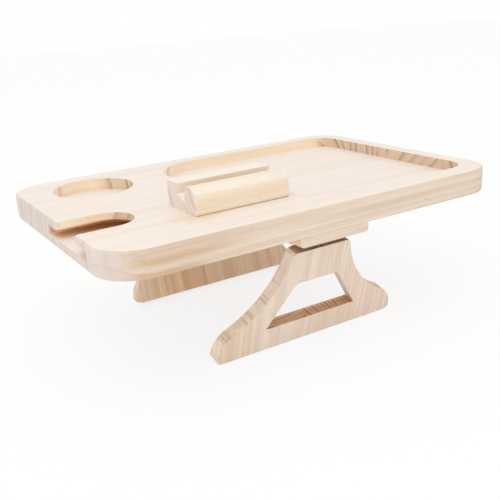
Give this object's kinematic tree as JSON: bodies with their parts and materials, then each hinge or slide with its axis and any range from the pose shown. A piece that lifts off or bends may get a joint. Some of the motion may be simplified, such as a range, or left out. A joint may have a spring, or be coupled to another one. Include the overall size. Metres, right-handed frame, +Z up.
{
  "type": "sofa arm tray",
  "caption": "Pine tray for a sofa arm, with a sunken tray, a cup recess, a slot for a stemmed glass, a loose phone stand and folding legs that clasp the arm.",
  "frame": {"origin": "on the ground, under the middle of the board, with the tray standing on its legs", "axes": "+X along the board's length, away from the cup recess; +Y across the board, towards the long edge next to the cup recess; +Z up"},
  "size_m": [0.4, 0.27, 0.1598],
  "materials": {
    "pine_board": "sanded pine, clear matt oil",
    "pine_plate": "sanded pine, clear matt oil",
    "pine_leg": "sanded pine, clear matt oil",
    "pine_stand": "sanded pine, clear matt oil",
    "hinge_steel": "zinc-plated sheet",
    "pin_steel": "plain drawn",
    "screw_steel": "zinc-plated"
  },
  "bodies": {
    "tray": {"tray_board": "pine_board", "base_plate": "pine_plate", "base_plate_screws": "screw_steel", "near_hinge_top_leaf": "hinge_steel", "near_hinge_pin": "pin_steel", "near_hinge_top_screws": "screw_steel", "far_hinge_top_leaf": "hinge_steel", "far_hinge_pin": "pin_steel", "far_hinge_top_screws": "screw_steel"},
    "near_leg_group": {"near_leg": "pine_leg", "near_hinge_leg_leaf": "hinge_steel", "near_hinge_leg_screws": "screw_steel"},
    "far_leg_group": {"far_leg": "pine_leg", "far_hinge_leg_leaf": "hinge_steel", "far_hinge_leg_screws": "screw_steel"},
    "loose_stand": {"phone_stand": "pine_stand"}
  },
  "joints": [
    {"name": "near_leg_fold", "type": "hinge", "parent": "tray", "child": "near_leg_group", "pos_m": [0, -0.1025, 0.10198], "axis": [1, 0, 0], "range_deg": [-38, 74]},
    {"name": "far_leg_fold", "type": "hinge", "parent": "tray", "child": "far_leg_group", "pos_m": [0, 0.1025, 0.10198], "axis": [-1, 0, 0], "range_deg": [-38, 74]},
    {"name": "stand_lift", "type": "slide", "parent": "tray", "child": "loose_stand", "axis": [0, 0, 1], "range_m": [0, 0.06]}
  ]
}
